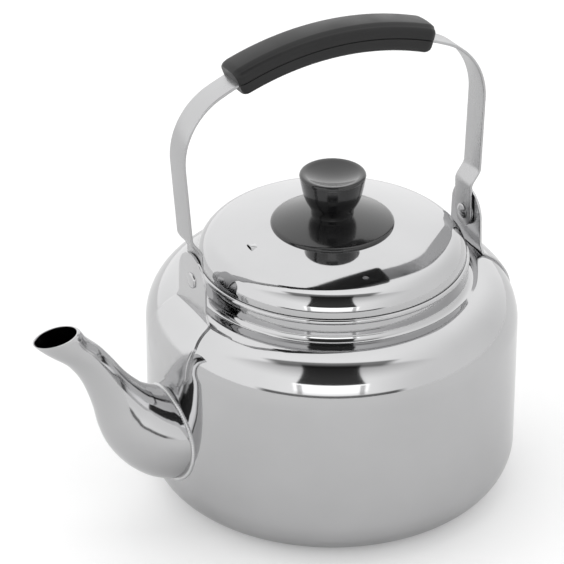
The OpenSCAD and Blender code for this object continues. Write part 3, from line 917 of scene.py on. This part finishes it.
GRIP_SEAM = 0.12  # gap between the grip's halves
GRIP_CAP = 1.5  # degrees of the crown over which each end of the grip rounds off
SCREW_SHARE = 0.66  # place of the clamp screws, as a share of the grip's half angle


def grip_half(shape, p, top):
    """Rings of one half of the grip along the crown; its ends are rounded."""
    w = p.grip_width / MM / 2
    over, under = p.grip_over / MM, p.grip_under / MM
    split = shape.thick / 2
    edge = split if top else split - GRIP_SEAM
    end = math.degrees(p.grip_angle)
    if top:
        side, wide, tall, drop = w - 0.35, 3.4, 3.2, 1.5  # of the rounded upper corners
        left = ([(-w + 0.45, split), (-w + 0.1, split + 0.3), (-w, split + 0.8)]
                + [(-side + wide - wide * math.cos(a), over - drop - tall + tall * math.sin(a))
                   for a in np.linspace(0, math.pi / 2 - 0.25, 8)])
        crown = [(x, over - 1.15 * (abs(x) / w) ** 2.2)
                 for x in np.linspace(-w + 4.2, w - 4.2, 13)]
        section = left + crown + [(-x, z) for x, z in left[::-1]]
        section += [(x, split) for x in np.linspace(w - 0.45, -w + 0.45, 15)[1:-1]]
    else:
        low = 3.6
        eased = [(w - 0.9, edge), (w - 0.45, split - 0.2), (w - 0.12, split - 0.5),
                 (w, split - 1.0)]
        quarter = [(w - low + low * math.cos(a), -under + low - low * math.sin(a))
                   for a in np.linspace(0, math.pi / 2, 8)]
        section = eased + quarter
        section += [(x, -under) for x in np.linspace(w - low, -w + low, 9)[1:-1]]
        section += [(-x, z) for x, z in quarter[::-1]]
        section += [(-x, z) for x, z in eased[::-1]]
        section += [(x, edge) for x in np.linspace(-w + 0.9, w - 0.9, 15)[1:-1]]
    stations = list(np.linspace(0, end - GRIP_CAP, 34))
    stations += [end - GRIP_CAP + GRIP_CAP * math.sin(a)
                 for a in np.linspace(0, math.pi / 2, 10)[1:]]
    rings = []
    for degrees in [-a for a in stations[::-1]] + stations[1:]:
        past = max(0, abs(degrees) - (end - GRIP_CAP)) / GRIP_CAP
        full = math.sqrt(max(1 - past * past, 0))
        a = math.radians(degrees)
        ring = []
        for y, h in section:
            r = shape.crown_r + edge + (h - edge) * (0.74 + 0.26 * full)
            ring.append((r * math.sin(a), y * (0.8 + 0.2 * full), shape.crown_c + r * math.cos(a)))
        rings.append(ring)
    return rings


def clamp_screw(shape, p, sign, rise=0.0):
    """Angle and place, in millimetres, of a screw on the grip's underside, moved up by rise."""
    a = sign * p.grip_angle * SCREW_SHARE
    r = shape.crown_r - p.grip_under / MM + rise
    return a, Vector((r * math.sin(a), 0, shape.crown_c + r * math.cos(a)))


class KETTLE_OT_grip(bpy.types.Operator):
    """Build the two halves of the grip and their screws"""

    bl_idname = "kettle.grip"
    bl_label = "Grip"

    def execute(self, context):
        p = context.scene.kettle_bail
        shape = BailShape(p)
        for name, node, top in (("grip_upper", "grip_top", True),
                                ("grip_lower", "grip_bottom", False)):
            half = make_piece(name, *skinned(grip_half(shape, p, top)))
            for sign in () if top else (-1, 1):
                well = solid("well", bmesh.ops.create_cone, segments=40, radius1=0.00295,
                             radius2=0.00295, depth=0.004, cap_ends=True)
                a, place = clamp_screw(shape, p, sign)
                well.location, well.rotation_euler = place * MM, (0, a, 0)
                half = cut(half, well)
            shade(leaned(half, p), 38)
            declare(half, BAIL, [node])
            paint(half, "grip")
        screws = [clamp_screw(shape, p, sign, 1.6) for sign in (-1, 1)]
        places = [(place, (0, math.pi + a, 0)) for a, place in screws]
        section = [(0, 0), (2.8, 0), (2.8, 0.9), (2.55, 1.3), (2.0, 1.5), (0, 1.5)]
        made = scattered("grip_clamp_screws", places, section, "fitting", 40, cross=3.4)
        declare(leaned(made, p), BAIL, ["grip_screws"])
        return {"FINISHED"}


# ---------- lid ----------
class KettleLid(bpy.types.PropertyGroup):
    """Sizes of the lid."""

    sheet: length("Sheet", "Thickness of the lid's sheet", 0.0007)
    edge_height: length("Edge height", "Height of the upright edge", 0.0019)
    vent_place: length("Vent place", "Distance of the steam vent from the middle", 0.0487)
    vent_width: length("Vent width", "Width of the steam vent", 0.007)


LID_BENDS = [  # lowest and highest slope of the normal in degrees, radius of the bend
    (0, 15, 6.0), (15, 30, 11.5), (30, 57, 14.5), (57, 76, 12.0)]


def lid_path(lid_r, z, edge, off=0.0):
    """Outer section of the lid from its lower edge to the middle, moved in by off."""
    r, h = lid_r, z + edge
    path = [(r - off, z), (r - off, z + edge * 0.5)]
    for low, high, bend in LID_BENDS:
        for a in np.linspace(low, high, 9)[1 if low else 0:]:
            c, s = math.cos(math.radians(a)), math.sin(math.radians(a))
            x = r - bend * (math.cos(math.radians(low)) - c)
            y = h + bend * (s - math.sin(math.radians(low)))
            path.append((x - off * c, y - off * s))
        r -= bend * (math.cos(math.radians(low)) - math.cos(math.radians(high)))
        h += bend * (math.sin(math.radians(high)) - math.sin(math.radians(low)))
    slope = LID_BENDS[-1][1]
    big = r / math.cos(math.radians(slope))
    centre = h - big * math.sin(math.radians(slope))
    for a in np.linspace(slope, 90, 34)[1:]:
        c, s = math.cos(math.radians(a)), math.sin(math.radians(a))
        path.append(((big - off) * c if a < 90 else 0.0, centre + (big - off) * s))
    return path


def lid_height(path, r):
    """Height of the lid's outer face at radius r."""
    near = sorted(path, key=lambda q: q[0])
    return float(np.interp(r, [q[0] for q in near], [q[1] for q in near]))


# The vent's hood, in millimetres: its reach behind and ahead of its place, its rise, how far its
# foot is sunk in the lid, and its sheet
VENT_BEHIND, VENT_AHEAD, VENT_RISE, VENT_SUNK, VENT_SHEET = 2.6, 3.4, 1.75, 0.25, 0.6


class KETTLE_OT_lid(bpy.types.Operator):
    """Build the domed lid, its steam vent and its locating skirt"""

    bl_idname = "kettle.lid"
    bl_label = "Lid"

    def execute(self, context):
        p = context.scene.kettle_lid
        lid_r, z = reach("lid_shell", 1, 1), reach("lid_shell", 0, 2)
        sheet, edge = p.sheet / MM, p.edge_height / MM
        outer = lid_path(lid_r, z, edge)
        under = lid_path(lid_r, z, edge, sheet)
        shell = make_piece("lid_dome", *revolved(outer + under[::-1], 288))
        vx, vw = p.vent_place / MM, p.vent_width / MM
        back, front = vx - VENT_BEHIND, vx + VENT_AHEAD
        rows, cols = 22, 21

        def hood(off):
            """A grid over the vent: low at the back and the sides, and open in front."""
            made = []
            for i in range(rows):
                f = i / (rows - 1)
                row = []
                for j in range(cols):
                    v = -1 + 2 * j / (cols - 1)
                    x = back + (front - back) * f
                    y = v * vw / 2 * (0.72 + 0.28 * f)
                    swell = (f * f * (3 - 2 * f)) * (1 - abs(v) ** 3.0)
                    h = lid_height(outer, math.hypot(x, y))
                    z = h - VENT_SUNK + (VENT_RISE + VENT_SUNK) * swell + off
                    row.append((x, y, z))
                made.append(row)
            return made

        vent = make_piece("lid_vent", *walled(hood(0.0), hood(-VENT_SHEET)), LID, "lid_steel")
        paint(vent, "lid")
        block = solid("slit", bmesh.ops.create_cube, size=1)
        block.scale = (3.2 * MM, (vw - 1.6) * MM, 4 * MM)
        block.location = ((front - 1.75) * MM, 0, (lid_height(outer, vx) - 0.2) * MM)
        shell = cut(shell, block)
        shade(shell, 40)
        declare(shell, LID, ["lid_shell"])
        paint(shell, "lid")
        skirt_r = reach("lid_skirt", 1, 1)
        skirt_low = reach("lid_skirt", 0, 2)
        skirt_top = lid_height(outer, skirt_r) - 0.9
        half = 0.35  # of the skirt's sheet
        wall = np.linspace(skirt_top, skirt_low + 0.5, 8)
        section = ([(skirt_r, s) for s in wall]
                   + arc(skirt_r - half, skirt_low + half, half, 0, -180, 8)
                   + [(skirt_r - 2 * half, s) for s in wall[::-1]])
        skirt = make_piece("lid_collar", *revolved(section, 256), LID, "lid_steel", ["lid_skirt"])
        paint(skirt, "lid")
        return {"FINISHED"}


# ---------- knob ----------
class KettleKnob(bpy.types.PropertyGroup):
    """Sizes of the knob and its heat shield."""

    top_radius: length("Top radius", "Radius of the knob's top", 0.0186)
    waist_radius: length("Waist radius", "Radius of the knob's waist", 0.012)
    dish: length("Dish", "Depth of the dished top", 0.0034)


class KETTLE_OT_knob(bpy.types.Operator):
    """Build the knob and the round heat shield under it"""

    bl_idname = "kettle.knob"
    bl_label = "Knob"

    def execute(self, context):
        p = context.scene.kettle_knob
        z0, z1 = reach("knob", 0, 2), reach("knob", 1, 2)
        h, w, t = z1 - z0, p.waist_radius / MM, p.top_radius / MM
        side = [(w, 0), (w + 0.05, 0.06 * h), (w + 0.35, 0.13 * h), (w + 0.22 * (t - w), 0.22 * h),
                (w + 0.48 * (t - w), 0.35 * h), (w + 0.68 * (t - w), 0.5 * h),
                (w + 0.84 * (t - w), 0.7 * h), (w + 0.95 * (t - w), 0.87 * h)]
        sweep = [tuple(catmull(side, u)) for u in np.linspace(0, len(side) - 1, 46)]
        lip, dish = 1.5, p.dish / MM
        r = t - 1.9 * lip
        big = (r * r + dish * dish) / (2 * dish)
        turn = math.asin(r / big)
        rim = arc(t - lip, h - lip, lip, 4, 96, 12)
        bowl = [(big * math.sin(a), h - dish - 0.12 + big * (1 - math.cos(a)))
                for a in np.linspace(turn, 0, 18)]
        section = [(0, 0), (w * 0.5, 0)] + sweep + rim + bowl
        knob = make_piece("knob_handle", *revolved([(x, z0 + z) for x, z in section], 160), LID,
                          "knob_plastic", ["knob"], smooth_to=50)
        paint(knob, "knob")
        r = reach("knob_flange", 1, 1)
        low = reach("knob_flange", 0, 2)
        rim_top = low + 1.8
        cap = 104.0
        c = rim_top - math.sqrt(cap * cap - r * r)
        upper = [(x, c + math.sqrt(cap * cap - x * x)) for x in np.linspace(w * 0.6, r - 0.7, 26)]
        edge = [(r - 0.35, rim_top - 0.12), (r - 0.08, rim_top - 0.45), (r, rim_top - 0.95),
                (r - 0.03, low + 0.3), (r - 0.3, low + 0.02)]
        dome_r = 240.0
        dc = low - math.sqrt(dome_r**2 - r * r)
        lower = [(x, dc + math.sqrt(dome_r**2 - x * x) + 0.02)
                 for x in np.linspace(r - 1.2, w * 0.6, 12)]
        shield = make_piece("heat_shield", *revolved(upper + edge + lower, 200), LID,
                            "knob_plastic", ["knob_flange"], smooth_to=50)
        paint(shield, "knob")
        return {"FINISHED"}


class KETTLE_OT_inner(bpy.types.Operator):
    """Give the inner CAD pieces their finishes"""

    bl_idname = "kettle.inner"
    bl_label = "Inner pieces"

    def execute(self, context):
        finishes = {
            "front_washer": "fitting", "rear_washer": "fitting", "grip_inserts": "brass",
            "knob_insert": "brass", "knob_screw": "fitting", "knob_washer": "fitting",
            "whistle_cup": "inside", "whistle_disc": "fitting"}
        for node, key in finishes.items():
            paint(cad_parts[node], key)
        return {"FINISHED"}


# ---------- stage ----------
class KettleStage(bpy.types.PropertyGroup):
    """Camera, light and floor."""

    azimuth: angle("Camera azimuth", "Turn of the camera from +Y towards +X", 28.7)
    elevation: angle("Camera elevation", "Camera height above the horizon", 30.6)
    distance: length("Camera distance", "Distance to the kettle", 1.9285)
    lens: FloatProperty(name="Lens", description="Focal length in millimetres", default=217.02)
    floor_lift: FloatProperty(
        name="Floor lift", description="Extra light of the floor as the camera sees it",
        default=0.16, min=0)
    tent: FloatProperty(name="Light", description="Strength of the soft tent of light",
                        default=1.36, min=0)


def tent_world(strength, azimuth):
    """A white light tent, open at the front, for light and reflections."""
    world = bpy.data.worlds.new("light_tent")
    bpy.context.scene.world = world
    world.use_nodes = True
    world.node_tree.nodes.clear()
    tent = Nodes(world.node_tree)
    calc = tent.math

    def step(value, low, high, a=0.0, b=1.0):
        """Soft step from a to b as value goes from low to high."""
        return tent.node("ShaderNodeMapRange", {0: value, 1: low, 2: high, 3: a, 4: b},
                         interpolation_type="SMOOTHSTEP").outputs[0]

    def times(*values):
        """All the values multiplied."""
        total = values[0]
        for v in values[1:]:
            total = calc("MULTIPLY", total, v)
        return total

    aim = tent.node("ShaderNodeTexCoord").outputs["Generated"]
    front = (math.sin(azimuth), math.cos(azimuth), 0)
    right = (-math.cos(azimuth), math.sin(azimuth), 0)

    def along(axis):
        """How far the direction points along an axis."""
        return tent.node("ShaderNodeVectorMath", {0: aim, 1: axis},
                         operation="DOT_PRODUCT").outputs["Value"]

    f, s, z = along(front), along(right), along((0, 0, 1))
    side = calc("ABSOLUTE", s)
    lift = calc("DEGREES", calc("ARCSINE", z))
    up = calc("MAXIMUM", z, 0.02)
    roof_f, roof_s = calc("DIVIDE", f, up), calc("ABSOLUTE", calc("DIVIDE", s, up))

    # The tent is a little dimmer at the sides and at the back
    level = times(step(s, 0.15, 0.9, 1.06, 0.78), step(s, -0.9, -0.2, 0.92, 1.0),
                  step(f, -0.7, 0.1, 0.94, 1.0))
    # Dark shapes with soft edges, and one brighter panel. f points to the camera's side, s to its
    # right and z up; roof_f and roof_s are the same, measured on a level roof one unit up
    card = times(step(calc("ADD", side, calc("MULTIPLY", z, 0.276)), 0.464, 0.45),
                 step(lift, 27.5, 29.5), step(roof_f, 0.1, 0.3))
    lip = times(step(roof_s, 0.5, 0.36), step(roof_f, 0.03, 0.1), step(roof_f, 0.4, 0.22))
    dim = times(step(roof_f, 0.15, 0.3), step(lift, 33, 74, 0.0, 0.55))
    panel = times(step(side, 0.37, 0.35), step(f, 0, 0.2), step(lift, 4, 16), step(lift, 30, 27))
    bars = times(step(side, 0.275, 0.285), step(side, 0.335, 0.325), step(f, 0, 0.2),
                 step(lift, 4, 7), step(lift, 27, 25))
    sill = times(step(side, 0.72, 0.6), step(f, 0, 0.2), step(lift, 6, 3.5))
    level = calc("ADD", level, calc("MULTIPLY", panel, 0.6))
    for mask, depth in ((dim, 1.0), (lip, 0.77), (sill, 0.85), (bars, 0.6), (card, 0.955)):
        level = calc("MULTIPLY", level, calc("SUBTRACT", 1.0, calc("MULTIPLY", mask, depth)))
    # The camera sees plain white behind the floor
    seen = tent.node("ShaderNodeLightPath").outputs["Is Camera Ray"]
    level = tent.node("ShaderNodeMix", {0: seen, 2: level, 3: 1.0}, data_type="FLOAT").outputs[0]
    back = tent.node("ShaderNodeBackground", {"Color": (1, 1, 1, 1),
                                              "Strength": calc("MULTIPLY", level, strength)})
    tent.node("ShaderNodeOutputWorld", {0: back.outputs[0]})


LOOK_HEIGHT = 0.08508  # of the point that the camera turns about, in metres
LOOK_LEFT, LOOK_UP = 0.0283, 0.02982  # from that point to the middle of the view, in metres


class KETTLE_OT_stage(bpy.types.Operator):
    """Lay the floor, hang the light and place the camera"""

    bl_idname = "kettle.stage"
    bl_label = "Stage"

    def execute(self, context):
        p = context.scene.kettle_stage
        scene = context.scene
        scene.view_settings.view_transform = "Standard"
        floor = solid("floor", bmesh.ops.create_circle, cap_ends=True, segments=96, radius=9.0)
        s = Shader("pale_floor", (0.8, 0.8, 0.8), roughness=0.9)
        s.bsdf.inputs["Specular IOR Level"].default_value = 0.0
        s.tint(s.ranged(s.noise(3, 2), 0, 1), (0.87, 0.87, 0.87), (0.89, 0.89, 0.89))
        seen = s.node("ShaderNodeLightPath").outputs["Is Camera Ray"]
        s.bsdf.inputs["Emission Color"].default_value = (1, 1, 1, 1)
        s.links.new(s.math("MULTIPLY", seen, p.floor_lift), s.bsdf.inputs["Emission Strength"])
        floor.data.materials.append(s.mat)
        tent_world(p.tent, p.azimuth)
        camera_data = bpy.data.cameras.new("camera")
        camera_data.sensor_width, camera_data.lens = 36, p.lens
        camera_data.clip_end = 100
        camera = linked("camera", camera_data)
        a, e = p.azimuth, p.elevation
        back = Vector((math.sin(a) * math.cos(e), math.cos(a) * math.cos(e), math.sin(e)))
        right = Vector((-math.cos(a), math.sin(a), 0))
        up = Vector((-math.sin(a) * math.sin(e), -math.cos(a) * math.sin(e), math.cos(e)))
        centre = Vector((0, 0, LOOK_HEIGHT))
        place = centre + back * p.distance
        target = centre - right * LOOK_LEFT + up * LOOK_UP
        camera.location = place
        camera.rotation_mode = "QUATERNION"
        camera.rotation_quaternion = (target - place).to_track_quat("-Z", "Y")
        scene.camera = camera
        return {"FINISHED"}


# ---------- panel and registration ----------
GROUPS = {
    "kettle_finish": KettleFinish, "kettle_body": KettleBody, "kettle_spout": KettleSpout,
    "kettle_ears": KettleEars, "kettle_bail": KettleBail, "kettle_lid": KettleLid,
    "kettle_knob": KettleKnob, "kettle_stage": KettleStage}
STEPS = [
    (KETTLE_OT_finishes, "kettle_finish"), (KETTLE_OT_body, "kettle_body"),
    (KETTLE_OT_spout, "kettle_spout"), (KETTLE_OT_ears, "kettle_ears"),
    (KETTLE_OT_rivets, None), (KETTLE_OT_strap, "kettle_bail"), (KETTLE_OT_grip, None),
    (KETTLE_OT_lid, "kettle_lid"), (KETTLE_OT_knob, "kettle_knob"), (KETTLE_OT_inner, None),
    (KETTLE_OT_stage, "kettle_stage")]


class KETTLE_PT_panel(bpy.types.Panel):
    """Lists the kettle's pieces and their sizes"""

    bl_label = "Kettle"
    bl_idname = "KETTLE_PT_panel"
    bl_space_type = "VIEW_3D"
    bl_region_type = "UI"
    bl_category = "Kettle"

    def draw(self, context):
        for operator, group in STEPS:
            box = self.layout.box()
            box.operator(operator.bl_idname)
            if group:
                values = getattr(context.scene, group)
                for key in GROUPS[group].__annotations__:
                    box.prop(values, key)


CLASSES = [*GROUPS.values(), *[s[0] for s in STEPS], KETTLE_PT_panel]


def register():
    """Adds the classes and the scene's sizes."""
    for cls in CLASSES:
        bpy.utils.register_class(cls)
    for name, group in GROUPS.items():
        setattr(bpy.types.Scene, name, PointerProperty(type=group))


def unregister():
    """Takes them away again."""
    for name in GROUPS:
        delattr(bpy.types.Scene, name)
    for cls in reversed(CLASSES):
        bpy.utils.unregister_class(cls)


def main():
    """Builds every piece in order."""
    register()
    for operator, _ in STEPS:
        area, name = operator.bl_idname.split(".")
        getattr(getattr(bpy.ops, area), name)()


if __name__ == "__main__":
    main()
